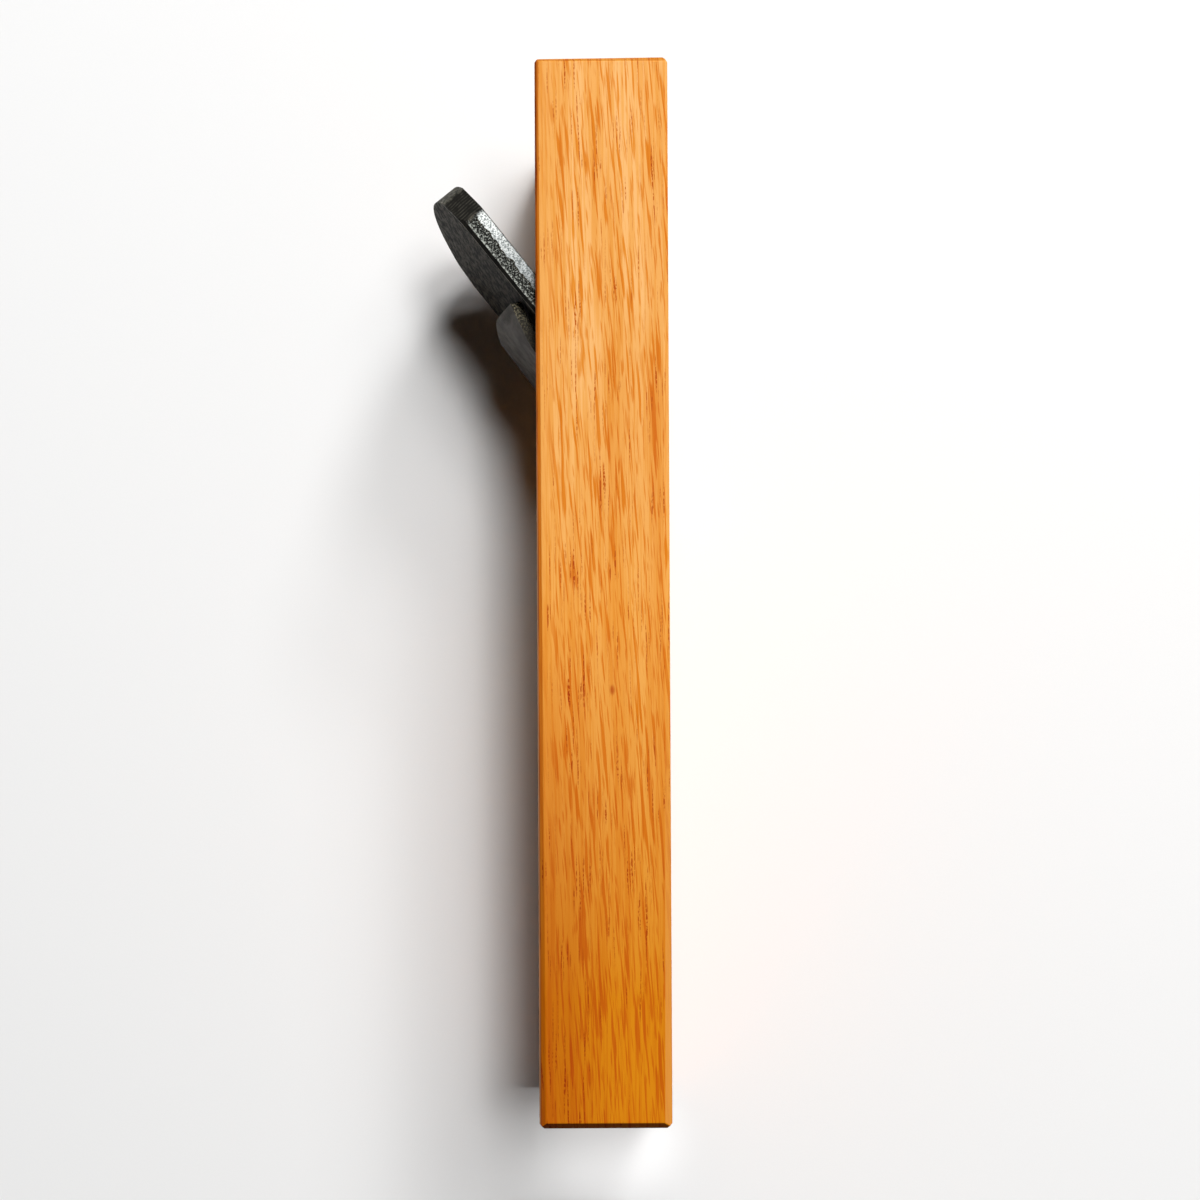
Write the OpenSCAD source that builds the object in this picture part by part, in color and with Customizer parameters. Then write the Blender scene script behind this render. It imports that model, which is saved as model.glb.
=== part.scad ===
// Wooden smoothing plane of the pulled type, lying on its side.
// +Y runs along the block to the heel, +X points out of the sole and +Z goes up through the width.
// The origin is the middle of the lower cheek, the face that the plane lies on.

/* [Block] */
// Length of the block, toe to heel
body_length = 290; // [250:1:330]
// Width of the block, cheek to cheek
body_width = 80; // [78:0.5:96]
// Height of the block, sole to top
body_height = 36; // [32:0.5:42]
// Chamfer on every outside edge of the block
edge_chamfer = 1.3; // [0.5:0.1:2.5]

/* [Bed and throat] */
// Angle between the bed and the sole
bed_angle = 38.5; // [36:0.5:44]
// Distance from the heel end to the line where the bed meets the sole
mouth_to_heel = 102.8; // [95:0.2:115]
// Width of the throat between the cheeks, above the grooves
throat_width = 60; // [59.5:0.1:62]
// Open slit at the sole in front of the cutting edge
mouth_gap = 0.8; // [0.4:0.1:2]
// Height of the steep wall in front of the mouth
mouth_wall_height = 4; // [2:0.5:6]
// Angle between that wall and the sole
mouth_wall_angle = 85; // [78:1:89]
// Angle between the front slope of the throat and the sole
front_slope_angle = 50; // [42:1:60]

/* [Plane iron] */
// Width of the iron
iron_width = 70; // [66:0.5:71]
// Length of the iron along its front face, cutting edge to head
iron_length = 105.5; // [100:0.5:115]
// Thickness of the iron at the cutting end
iron_thickness = 6.2; // [5:0.1:7]
// How much thicker the iron is at its head
iron_wedge = 0.8; // [0.4:0.1:1.8]
// Angle of the ground bevel
bevel_angle = 28; // [25:0.5:32]
// Length of the cutting edge between its trimmed corners
edge_width = 58.8; // [56:0.1:59.2]
// Height of the narrow part above the end of the bed
tongue_height = 4; // [3:0.5:8]
// Length of the slanted shoulder above the narrow part
shoulder_length = 9; // [6:0.5:14]
// Length of the cut corner at the head
head_corner_length = 8.5; // [4:0.5:12]
// Width of the cut corner at the head
head_corner_width = 5; // [3:0.5:9]
// Radius of the arched head
head_radius = 62; // [50:1:100]
// Chamfer along the front edges
iron_chamfer = 0.9; // [0.3:0.1:1.3]
// Width of the hollow ground in the front face
hollow_width = 48; // [38:1:54]
// Length of that hollow
hollow_length = 58; // [40:1:66]
// Depth of that hollow
hollow_depth = 0.6; // [0.3:0.1:0.9]
// Flat land left between the hollow and the cutting edge
hollow_land = 2.5; // [1.5:0.5:6]
// How far the cutting edge rests inside the sole, along the bed
edge_setback = 0.3; // [0.1:0.1:0.6]
// How far the iron can be driven down from rest
drive_travel = 0.8; // [0.5:0.1:1.5]

/* [Chip breaker] */
// Width of the chip breaker
breaker_width = 59; // [56:0.5:59.2]
// Length from its edge to the middle of its head
breaker_length = 67; // [62:0.5:74]
// Thickness of its plate
breaker_thickness = 3; // [2.4:0.1:3.8]
// Height of its front face over the iron, where the bevel ends
breaker_toe_height = 4; // [3.6:0.1:5]
// Slope of its front face against the iron
breaker_lift_angle = 3.3; // [2.5:0.1:4]
// Length of its bevel
breaker_bevel_length = 8; // [6:0.5:12]
// Height of the steep bevel at its edge
breaker_edge_height = 0.8; // [0.4:0.1:1.5]
// Angle between that steep bevel and the iron
breaker_edge_angle = 50; // [40:1:60]
// Width of the flat behind its edge that bears on the iron
breaker_land = 1.5; // [1:0.1:3]
// Distance of its edge back from the cutting edge
breaker_setback = 0.5; // [0.4:0.1:1.2]
// Radius of its arched head
breaker_head_radius = 200; // [120:10:400]
// Width of each bent ear
ear_width = 12; // [8:0.5:13]
// Length of each bent ear
ear_length = 13.5; // [11:0.5:18]

/* [Cross pin] */
// Diameter of the pin
pin_diameter = 6; // [5:0.5:7]
// Distance of the pin from the cutting edge, along the iron
pin_place = 30; // [26:0.5:34]
// Depth of the pin's end below the lower cheek
pin_recess = 0.6; // [0.2:0.1:1.5]
// Wood left over the pin's blind end
pin_cover = 4.5; // [2.5:0.5:6]
// Chamfer at the pin's ends
pin_chamfer = 0.6; // [0.2:0.1:1]

/* [Fits] */
// Gap between the iron and the bed
bed_gap = 0.1; // [0.05:0.05:0.3]
// Gap between the iron's front face and the grooves
groove_gap = 0.15; // [0.1:0.05:0.4]
// Gap at each side of the iron in its grooves
side_gap = 0.3; // [0.2:0.1:0.8]
// Gap between the chip breaker and the iron
breaker_gap = 0.1; // [0.05:0.05:0.2]
// Gap between the chip breaker and the pin
pin_gap = 0.2; // [0.1:0.05:0.4]
// Interference of the pin in its hole, on the diameter
pin_press = 0.04; // [0.02:0.01:0.08]

/* [Hidden] */
$fn = 96;

// How far a cut runs past the face that it opens
past = 2;

sole_x = body_height / 2;
mouth_y = body_length / 2 - mouth_to_heel;
cheek = (body_width - throat_width) / 2;

// Iron, in bed coordinates: s up the bed from the sole, t out from the bed
wedge_angle = atan(iron_wedge / iron_length);
edge_t = bed_gap + iron_thickness;
edge_on_sole_s = -edge_t / tan(bed_angle);
edge_s = edge_on_sole_s + edge_setback;
bevel_back_s = edge_s + iron_thickness / tan(bevel_angle);
head_s = edge_s + iron_length;
top_s = body_height / sin(bed_angle);

// Chip breaker, in face coordinates: u up the iron's face from the cutting edge, f out from it
breaker_bevel_u = breaker_setback + breaker_bevel_length;
breaker_head_u = breaker_setback + breaker_length;

function iron_face_t(s) = edge_t + (s - edge_s) * tan(wedge_angle);
function bed_xy(s, t) = [
    sole_x - s * sin(bed_angle) - t * cos(bed_angle),
    mouth_y + s * cos(bed_angle) - t * sin(bed_angle)
];
function breaker_face_f(u) =
    breaker_toe_height + (u - breaker_bevel_u) * tan(breaker_lift_angle);

// Local x across the width, y up the bed from the sole, z out from the bed
module on_bed() {
    translate([sole_x, mouth_y, body_width / 2])
        rotate([0, 0, bed_angle]) rotate([0, -90, 0]) children();
}

// Local x across the width, y up the iron's front face from the cutting edge, z out from it
module on_face() {
    on_bed() translate([0, edge_s, edge_t]) rotate([wedge_angle, 0, 0]) children();
}

// Local z is 0 on the chip breaker's front face, y is 0 at the top of its bevel
module on_breaker() {
    on_face() translate([0, breaker_bevel_u, breaker_toe_height])
        rotate([breaker_lift_angle, 0, 0]) children();
}

// A side view with y and z as its axes, drawn through the given width
module across(width) {
    rotate([90, 0, 90]) linear_extrude(height = width, center = true) children();
}

module chamfered_rect(w, h, c) {
    polygon([
        [-w / 2 + c, -h / 2], [w / 2 - c, -h / 2], [w / 2, -h / 2 + c], [w / 2, h / 2 - c],
        [w / 2 - c, h / 2], [-w / 2 + c, h / 2], [-w / 2, h / 2 - c], [-w / 2, -h / 2 + c]
    ]);
}

// Block with the same chamfer on its twelve edges
module block() {
    translate([0, 0, body_width / 2])
        intersection() {
            linear_extrude(height = body_width, center = true)
                chamfered_rect(body_height, body_length, edge_chamfer);
            rotate([90, 0, 0]) linear_extrude(height = body_length, center = true)
                chamfered_rect(body_height, body_width, edge_chamfer);
            rotate([90, 0, 90]) linear_extrude(height = body_height, center = true)
                chamfered_rect(body_length, body_width, edge_chamfer);
        }
}

// Throat between the cheeks: bed, front slope and the steep wall at the mouth
module throat() {
    mouth_front_y = bed_xy(edge_on_sole_s, edge_t)[1] - mouth_gap;
    wall_run = mouth_wall_height / tan(mouth_wall_angle);
    slope_top = body_height - mouth_wall_height + past;
    translate([0, 0, cheek])
        linear_extrude(height = throat_width)
            polygon([
                bed_xy(-past / sin(bed_angle), 0),
                bed_xy(top_s + past / sin(bed_angle), 0),
                [sole_x - mouth_wall_height - slope_top,
                    mouth_front_y - wall_run - slope_top / tan(front_slope_angle)],
                [sole_x - mouth_wall_height, mouth_front_y - wall_run],
                [sole_x, mouth_front_y],
                [sole_x + past, mouth_front_y]
            ]);
}

// Outline of the iron's lower end, seen square to the bed and open at the top
module tongue_plan(edge_half, full_half, start_s, low_s, high_s) {
    polygon([
        [-edge_half, low_s], [edge_half, low_s],
        [edge_half, start_s], [full_half, start_s + shoulder_length],
        [full_half, high_s], [-full_half, high_s],
        [-full_half, start_s + shoulder_length], [-edge_half, start_s]
    ]);
}

// Grooves in both cheeks that hold the iron by its edges
module iron_grooves() {
    low_s = tongue_height - drive_travel - side_gap;
    high_s = top_s + past / sin(bed_angle);
    on_bed()
        intersection() {
            across(iron_width + 2 * side_gap)
                polygon([
                    [low_s, 0], [high_s, 0],
                    [high_s, iron_face_t(high_s) + groove_gap],
                    [low_s, iron_face_t(low_s) + groove_gap]
                ]);
            translate([0, 0, -past])
                linear_extrude(height = iron_thickness + iron_wedge + 2 * past)
                    tongue_plan(edge_width / 2 + side_gap, iron_width / 2 + side_gap,
                        low_s, low_s - past, high_s + past);
        }
}

// Places the pin square across the throat, just in front of the chip breaker
module at_pin() {
    clear_f = breaker_face_f(pin_place) + (pin_diameter / 2 + pin_gap) / cos(breaker_lift_angle);
    on_face() translate([0, pin_place, clear_f])
        rotate([0, 90, 0]) translate([0, 0, -body_width / 2]) children();
}

module body_block() {
    color([0.87, 0.55, 0.2])
        difference() {
            block();
            throat();
            iron_grooves();
            at_pin() translate([0, 0, -past])
                cylinder(d = pin_diameter - pin_press, h = body_width - pin_cover + past);
        }
}

// Outline of the iron: narrow cutting end, shoulders, cut corners and arched head
module iron_plan() {
    head_half = iron_width / 2 - head_corner_width;
    head_rise = head_radius - sqrt(pow(head_radius, 2) - pow(head_half, 2));
    corner_s = head_s - head_rise - head_corner_length;
    intersection() {
        tongue_plan(edge_width / 2, iron_width / 2, tongue_height, edge_s - past, head_s);
        union() {
            translate([0, head_s - head_radius]) circle(r = head_radius, $fn = 180);
            translate([-iron_width / 2, edge_s - past])
                square([iron_width, iron_length + past - head_radius]);
        }
        polygon([
            [-iron_width / 2, edge_s - past], [iron_width / 2, edge_s - past],
            [iron_width / 2, corner_s], [head_half, corner_s + head_corner_length],
            [head_half, head_s + past], [-head_half, head_s + past],
            [-head_half, corner_s + head_corner_length], [-iron_width / 2, corner_s]
        ]);
    }
}

// Shallow hollow in the front face, round at its upper end
module hollow() {
    trough_radius = (pow(hollow_width / 2, 2) + pow(hollow_depth, 2)) / (2 * hollow_depth);
    intersection() {
        translate([0, -past, trough_radius - hollow_depth]) rotate([-90, 0, 0])
            cylinder(r = trough_radius, h = iron_length, $fn = 360);
        translate([0, 0, -iron_thickness / 2])
            linear_extrude(height = iron_thickness)
                union() {
                    translate([-hollow_width / 2, hollow_land])
                        square([hollow_width, hollow_length - hollow_width / 2]);
                    translate([0, hollow_land + hollow_length - hollow_width / 2])
                        circle(d = hollow_width);
                }
    }
}

module plane_iron() {
    color([0.2, 0.2, 0.19])
        difference() {
            on_bed()
                intersection() {
                    across(iron_width + past)
                        polygon([
                            [edge_s, edge_t], [bevel_back_s, bed_gap], [head_s, bed_gap],
                            [head_s, iron_face_t(head_s)]
                        ]);
                    translate([0, 0, -past])
                        linear_extrude(height = iron_thickness + iron_wedge + 2 * past)
                            iron_plan();
                }
            on_face() {
                hollow();
                for (side = [-1, 1])
                    translate([side * iron_width / 2, iron_length / 2, 0]) rotate([0, 45, 0])
                        cube([iron_chamfer * sqrt(2), iron_length + past, iron_chamfer * sqrt(2)],
                            center = true);
            }
        }
}

// Length of the chip breaker's plate above its bevel, and the rise of its head
breaker_y = (breaker_head_u - breaker_bevel_u) / cos(breaker_lift_angle);
breaker_rise = breaker_head_radius
    - sqrt(pow(breaker_head_radius, 2) - pow(breaker_width / 2, 2));
// Fold line across each corner of the head, and how far the corner lies beyond it
fold_low = [breaker_width / 2, breaker_y - breaker_rise - ear_length];
fold_angle = atan2(ear_length, -ear_width);
ear_reach = ear_width * ear_length / norm([ear_width, ear_length]);
// Bend that brings the back of the corner down to the iron
ear_height = breaker_face_f(breaker_head_u - breaker_rise) - breaker_gap;
ear_bend = asin(ear_height / norm([ear_reach, breaker_thickness]))
    - atan(breaker_thickness / ear_reach);

// Outline of the plate with its ears bent: arched head, corners drawn in by the bend
module breaker_plan() {
    half = breaker_width / 2;
    low_y = -breaker_bevel_length - 2 * past;
    drawn_in = ear_reach * (1 - cos(ear_bend));
    corner = [half, fold_low[1] + ear_length] + drawn_in * [-sin(fold_angle), cos(fold_angle)];
    inner = half - ear_width;
    inner_y = breaker_y - breaker_head_radius
        + sqrt(pow(breaker_head_radius, 2) - pow(inner, 2));
    intersection() {
        union() {
            translate([0, breaker_y - breaker_head_radius])
                circle(r = breaker_head_radius, $fn = 240);
            translate([-half, low_y]) square([breaker_width, breaker_y / 2 - low_y]);
        }
        polygon([
            [-half, low_y], [half, low_y], fold_low, corner, [inner, inner_y],
            [inner, breaker_y + past], [-inner, breaker_y + past],
            [-inner, inner_y], [-corner[0], corner[1]], [-half, fold_low[1]]
        ]);
    }
}

// Side view of the bevel and the plate, filled down to the iron
module breaker_side() {
    far_u = breaker_head_u + past;
    across(breaker_width + 2 * past)
        polygon([
            [breaker_setback, breaker_gap],
            [breaker_setback + breaker_edge_height / tan(breaker_edge_angle),
                breaker_gap + breaker_edge_height],
            [breaker_bevel_u, breaker_toe_height],
            [far_u, breaker_face_f(far_u)],
            [far_u, breaker_gap]
        ]);
}

// Space between the plate's back and the iron, starting behind the flat at the edge
module breaker_hollow() {
    far_u = breaker_head_u + 2 * past;
    plate = breaker_thickness / cos(breaker_lift_angle);
    land_u = breaker_setback + breaker_land;
    run = breaker_bevel_u - land_u;
    rise = breaker_face_f(breaker_bevel_u) - plate - breaker_gap;
    across(breaker_width + 4 * past)
        polygon([
            [land_u - run, breaker_gap - rise], [land_u + run, breaker_gap + rise],
            [far_u, breaker_face_f(far_u) - plate], [far_u, -past]
        ]);
}

// Space beyond one face of an ear: in front of its front face, or behind its back
module beyond_ear(side, front) {
    size = 2 * breaker_width;
    translate([side * fold_low[0], fold_low[1], 0])
        rotate([ear_bend, 0, side * fold_angle])
            translate([-size / 2, -size / 2, front ? 0 : -breaker_thickness - size])
                cube(size);
}

module chip_breaker() {
    color([0.33, 0.32, 0.3])
        difference() {
            intersection() {
                on_face() breaker_side();
                on_breaker()
                    linear_extrude(height = 2 * (ear_height + past), center = true)
                        breaker_plan();
            }
            for (side = [-1, 1]) on_breaker() beyond_ear(side, true);
            intersection() {
                on_face() breaker_hollow();
                on_breaker() beyond_ear(-1, false);
                on_breaker() beyond_ear(1, false);
            }
        }
}

module cross_pin() {
    length = body_width - pin_cover - pin_recess;
    color([0.62, 0.62, 0.6])
        at_pin() translate([0, 0, pin_recess])
            rotate_extrude()
                polygon([
                    [0, 0], [pin_diameter / 2 - pin_chamfer, 0], [pin_diameter / 2, pin_chamfer],
                    [pin_diameter / 2, length - pin_chamfer],
                    [pin_diameter / 2 - pin_chamfer, length], [0, length]
                ]);
}

body_block();
plane_iron();
chip_breaker();
cross_pin();
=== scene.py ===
# %% [markdown]
# # A wooden smoothing plane lying on its cheek
# This plane is a plain oak block with a thick forged iron wedged into it. A second, shorter iron,
# the chip breaker, lies on the first, and a steel pin across the throat holds it down.
# The measured solids are loaded first. Every piece made here lies where its solid lies, in metres.

# %% Load the frame
import math

import bmesh
import bpy
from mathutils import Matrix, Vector


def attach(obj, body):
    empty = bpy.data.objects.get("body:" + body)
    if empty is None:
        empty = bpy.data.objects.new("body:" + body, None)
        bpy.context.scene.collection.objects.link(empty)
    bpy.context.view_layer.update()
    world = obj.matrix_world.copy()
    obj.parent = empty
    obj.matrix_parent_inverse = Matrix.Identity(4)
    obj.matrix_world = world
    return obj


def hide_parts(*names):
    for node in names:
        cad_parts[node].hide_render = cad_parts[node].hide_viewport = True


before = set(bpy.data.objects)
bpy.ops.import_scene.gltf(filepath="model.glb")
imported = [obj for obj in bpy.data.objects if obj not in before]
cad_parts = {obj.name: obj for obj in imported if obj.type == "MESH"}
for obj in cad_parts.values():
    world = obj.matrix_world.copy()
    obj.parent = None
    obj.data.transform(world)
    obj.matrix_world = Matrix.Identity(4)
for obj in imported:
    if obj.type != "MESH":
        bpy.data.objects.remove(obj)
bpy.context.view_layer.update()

MM = 0.001

# %% [markdown]
# ## Camera
# The photo was taken from straight above, from about half a metre, so the sides of the block
# show a little perspective. The lens points at the floor below the middle of the frame, and the
# shift slides the picture back to the plane.

# %% Camera
CAMERA_PLACE = (-0.4, -60.1, 600.7)
CAMERA_ROLL = -0.28
camera_data = bpy.data.cameras.new("camera")
camera_data.sensor_width = 36.0
camera_data.lens = 57.83
camera_data.shift_x = -0.0025
camera_data.shift_y = 0.179
camera_data.clip_start = 0.02
camera_data.clip_end = 30.0
camera = bpy.data.objects.new("camera", camera_data)
camera.location = Vector(CAMERA_PLACE) * MM
camera.rotation_euler = (0.0, 0.0, math.radians(CAMERA_ROLL))
bpy.context.scene.collection.objects.link(camera)
bpy.context.scene.camera = camera
print("camera", round(CAMERA_PLACE[2] - 80.0), "mm above the upper cheek")

# %% [markdown]
# ## Helpers for materials
# Every pattern is worked out from the place of a point on the piece, in millimetres, so the grain
# runs through the wood and a ground edge stays where the grindstone left it. These helpers keep
# each material to a few readable lines.

# %% Material helpers
def tone(red, green, blue):
    """A display colour from 0 to 255 as the linear colour that a shader takes."""
    linear = []
    for part in (red, green, blue):
        share = part / 255
        linear.append(share / 12.92 if share <= 0.04045 else ((share + 0.055) / 1.055) ** 2.4)
    return (*linear, 1.0)


def new_material(name):
    """A material with one shader: returns the material, its tree and the shader."""
    made = bpy.data.materials.new(name)
    made.use_nodes = True
    tree = made.node_tree
    tree.nodes.clear()
    shader = tree.nodes.new("ShaderNodeBsdfPrincipled")
    out = tree.nodes.new("ShaderNodeOutputMaterial")
    tree.links.new(shader.outputs["BSDF"], out.inputs["Surface"])
    return made, tree, shader


def put(tree, socket, value):
    """Links a socket into an input, or sets the input to a plain value."""
    if isinstance(value, bpy.types.NodeSocket):
        tree.links.new(value, socket)
    else:
        socket.default_value = value


def maths(tree, operation, first, second=0.0, clamp=False):
    node = tree.nodes.new("ShaderNodeMath")
    node.operation = operation
    node.use_clamp = clamp
    put(tree, node.inputs[0], first)
    put(tree, node.inputs[1], second)
    return node.outputs[0]


def times(tree, *values):
    product = values[0]
    for value in values[1:]:
        product = maths(tree, "MULTIPLY", product, value)
    return product


def invert(tree, value):
    return maths(tree, "SUBTRACT", 1.0, value)


def place_in_mm(tree):
    where = tree.nodes.new("ShaderNodeTexCoord")
    scaled = tree.nodes.new("ShaderNodeVectorMath")
    scaled.operation = "SCALE"
    tree.links.new(where.outputs["Object"], scaled.inputs[0])
    scaled.inputs["Scale"].default_value = 1 / MM
    return scaled.outputs[0]


def measure(tree, place, direction, offset=0.0):
    """How far a place lies along a direction, in mm, plus an offset."""
    node = tree.nodes.new("ShaderNodeVectorMath")
    node.operation = "DOT_PRODUCT"
    tree.links.new(place, node.inputs[0])
    node.inputs[1].default_value = direction
    return maths(tree, "ADD", node.outputs["Value"], offset)


def together(tree, x, y, z):
    node = tree.nodes.new("ShaderNodeCombineXYZ")
    for socket, value in zip(node.inputs, (x, y, z)):
        put(tree, socket, value)
    return node.outputs[0]


def in_sizes(tree, place, size):
    """The place counted in details of this size, in mm on each axis."""
    node = tree.nodes.new("ShaderNodeVectorMath")
    node.operation = "DIVIDE"
    tree.links.new(place, node.inputs[0])
    node.inputs[1].default_value = size
    return node.outputs[0]


def cloud(tree, place, size, detail=2.0, rough=0.5):
    """Smooth noise from about 0.3 to 0.7, with spots of the given size."""
    node = tree.nodes.new("ShaderNodeTexNoise")
    tree.links.new(in_sizes(tree, place, size), node.inputs["Vector"])
    node.inputs["Scale"].default_value = 1.0
    node.inputs["Detail"].default_value = detail
    node.inputs["Roughness"].default_value = rough
    return node.outputs[0]


def scattered(tree, place, size):
    """Distance to the nearest of many scattered points, and a random number for that point."""
    node = tree.nodes.new("ShaderNodeTexVoronoi")
    tree.links.new(in_sizes(tree, place, size), node.inputs["Vector"])
    node.inputs["Scale"].default_value = 1.0
    return node.outputs["Distance"], measure(tree, node.outputs["Color"], (1, 0, 0))


def length_of(tree, vector):
    node = tree.nodes.new("ShaderNodeVectorMath")
    node.operation = "LENGTH"
    tree.links.new(vector, node.inputs[0])
    return node.outputs["Value"]


def ease(tree, value, start, end, low=0.0, high=1.0):
    """Goes smoothly from low to high as the value goes from start to end."""
    node = tree.nodes.new("ShaderNodeMapRange")
    node.interpolation_type = "SMOOTHSTEP"
    for name, number in (("Value", value), ("From Min", start), ("From Max", end),
                         ("To Min", low), ("To Max", high)):
        put(tree, node.inputs[name], number)
    return node.outputs[0]


def blend(tree, share, first, second, way="MIX"):
    """Colours mixed by a share, or the first tinted by the second with way MULTIPLY."""
    node = tree.nodes.new("ShaderNodeMix")
    node.data_type = "RGBA"
    node.blend_type = way
    put(tree, node.inputs[0], share)
    put(tree, node.inputs[6], first)
    put(tree, node.inputs[7], second)
    return node.outputs[2]


def relief(tree, shader, height, depth):
    """Fine surface relief that is too small for the mesh, depth in mm."""
    node = tree.nodes.new("ShaderNodeBump")
    node.inputs["Distance"].default_value = depth * MM
    tree.links.new(height, node.inputs["Height"])
    tree.links.new(node.outputs[0], shader.inputs["Normal"])


print("material helpers ready")

# %% [markdown]
# ## Light
# The shadow tells where the light is. Beside the block it is soft and short, and darkest at its
# foot. The iron's shadow runs towards the toe, so the light leans over from the heel, and it
# fades over a long way, so a part of the light hangs low. Six round soft boxes, all facing down
# from one height, give this together. Each stands where its slant says, times the height, and
# its share is the part of the floor's brightness that it gives. The floor below the toe is
# nearly free of shadow, so a small spot fills it.

# %% Lamps
LAMP_HEIGHT = 2.5
LAMPS = {"key_box": (0.174, 0.239, 0.60, 0.286), "edge_box": (0.269, 0.052, 0.42, 0.092),
         "side_box": (0.36, 0.418, 1.47, 0.151), "high_box": (0.088, 0.607, 0.85, 0.191),
         "heel_box": (0.52, 1.027, 1.12, 0.136), "low_box": (0.72, 1.652, 1.24, 0.09)}
FLOOR_RESPONSE = 0.082
TOE_SPOT = (-0.005, -0.162, 0.0)
SPOT_OFFSET = (0.35, 0.01, 0.55)
SPOT_ANGLE = 4.4
SPOT_WATTS = 13.0


def add_lamp(name, kind, place, target, watts):
    """A lamp at a place, aimed at a target, both in metres. Cameras don't see it."""
    data = bpy.data.lights.new(name, kind)
    data.energy = watts
    lamp = bpy.data.objects.new(name, data)
    lamp.location = place
    lamp.rotation_euler = (Vector(place) - Vector(target)).to_track_quat("Z", "Y").to_euler()
    lamp.visible_camera = False
    bpy.context.scene.collection.objects.link(lamp)
    return data


for name, (right, heelwards, width, share) in LAMPS.items():
    place = Vector((right, heelwards, 1.0)) * LAMP_HEIGHT
    slant = 1 + right ** 2 + heelwards ** 2
    watts = share * (LAMP_HEIGHT * slant) ** 2 / FLOOR_RESPONSE
    box = add_lamp(name, "AREA", place, (place.x, place.y, 0.0), watts)
    box.shape = "DISK"
    box.size = width
    print(name, round(watts, 1), "W")
spot = add_lamp("toe_spot", "SPOT", Vector(TOE_SPOT) + Vector(SPOT_OFFSET), TOE_SPOT, SPOT_WATTS)
spot.spot_size = math.radians(SPOT_ANGLE)
spot.spot_blend = 1.0
spot.shadow_soft_size = 0.01

# %% Sky
SKY = 0.012
BACKDROP = (0.93, 0.93, 0.93, 1.0)

sky = bpy.data.worlds.new("sky")
sky.use_nodes = True
tree = sky.node_tree
tree.nodes.clear()
sky_out = tree.nodes.new("ShaderNodeOutputWorld")
sky_mix = tree.nodes.new("ShaderNodeMixShader")
seen = tree.nodes.new("ShaderNodeLightPath")
fill = tree.nodes.new("ShaderNodeBackground")
fill.inputs["Strength"].default_value = SKY
behind = tree.nodes.new("ShaderNodeBackground")
behind.inputs["Color"].default_value = BACKDROP
tree.links.new(seen.outputs["Is Camera Ray"], sky_mix.inputs[0])
tree.links.new(fill.outputs[0], sky_mix.inputs[1])
tree.links.new(behind.outputs[0], sky_mix.inputs[2])
tree.links.new(sky_mix.outputs[0], sky_out.inputs["Surface"])
bpy.context.scene.world = sky
bpy.context.scene.view_settings.view_transform = "Standard"
print("sky strength", SKY)

# %% [markdown]
# ## Floor
# A white sheet of card, wide enough for pictures from the side. It isn't part of the plane.

# %% Floor
FLOOR_HALF = 1.2
floor_mesh = bpy.data.meshes.new("floor")
floor_mesh.from_pydata(
    [(-FLOOR_HALF, -FLOOR_HALF, 0), (FLOOR_HALF, -FLOOR_HALF, 0),
     (FLOOR_HALF, FLOOR_HALF, 0), (-FLOOR_HALF, FLOOR_HALF, 0)], [], [(0, 1, 2, 3)])
floor = bpy.data.objects.new("floor", floor_mesh)
bpy.context.scene.collection.objects.link(floor)
card, tree, shader = new_material("white_card")
mm = place_in_mm(tree)
fibres = cloud(tree, mm, (0.6, 0.6, 0.6), 3)
put(tree, shader.inputs["Base Color"],
    blend(tree, fibres, (0.80, 0.80, 0.795, 1), (0.82, 0.82, 0.82, 1)))
shader.inputs["Roughness"].default_value = 0.8
shader.inputs["Specular IOR Level"].default_value = 0.1
floor_mesh.materials.append(card)
print("floor", 2 * FLOOR_HALF, "m wide")

# %% [markdown]
# ## Oiled oak
# The oak's colour goes from pale honey at the heel to orange at the toe: partly the tone of the oiled
# wood and partly a painted sheen that pales the heel. Oak has broad rays, sheets of soft tissue that
# run out from the heart of the tree. The cheeks cut them end-on, as short spindles that lean a
# little, and the sole and the top cut them flat, as wide pale patches. Fine fibres and dark pore
# lines run along the block. Working from one set of rays, rings and fibres in the whole block makes
# the end grain agree with the sides.

# %% Oak measures
BODY_LENGTH = 290.0
BODY_HEIGHT = 36.0
BODY_WIDTH = 80.0
HEART = (8.0, -140.0)
RING_WIDTH = 2.6
RAY_LEAN = 0.065
RAY_SIZE = (0.82, 18.0, 17.0)
SMALL_RAY_SIZE = (0.5, 9.5, 9.0)
FLAT_RAY_SHARE = 0.5
FIBRE_SIZE = (0.8, 60.0, 0.8)
PORE_SIZE = (0.48, 17.0, 0.48)
DASH_SIZE = (0.6, 0.9, 0.6)
KNOT = Vector((2.3, -26.4, BODY_WIDTH))
# Base colours from heel to toe; the pale honey at the heel is partly painted sheen.
HONEY, AMBER, ORANGE = (0.80, 0.422, 0.145, 1), (0.79, 0.368, 0.08, 1), (0.63, 0.215, 0.003, 1)
HONEY_END, AMBER_PLACE, ORANGE_START = 0.27, 0.52, 0.88
RAY_TINT = (0.83, 0.53, 0.12, 1)
PORE_TINT = (0.60, 0.26, 0.04, 1)
FIBRE_TINT = (0.94, 0.82, 0.56, 1)
# A dark line on the outer left edge: partly dark oil, partly painted shade.
EDGE_SHADE_AND_OIL_TINT = (0.30, 0.17, 0.08, 1)
HEEL_END_TINT = (0.85, 0.72, 0.50, 1)
HEEL_CHAMFER_TINT = (0.71, 0.56, 0.21, 1)
TOE_END_TINT = (0.42, 0.30, 0.22, 1)
# Painted shade on the toe chamfer, which faces away from the light.
TOE_CHAMFER_SHADE = (0.13, 0.08, 0.10, 1)
# Painted shade on the cheeks towards the toe and the left, partly darker wood.
TOE_SIDE_SHADE_TINT = (0.74, 0.56, 0.35, 1)
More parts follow.
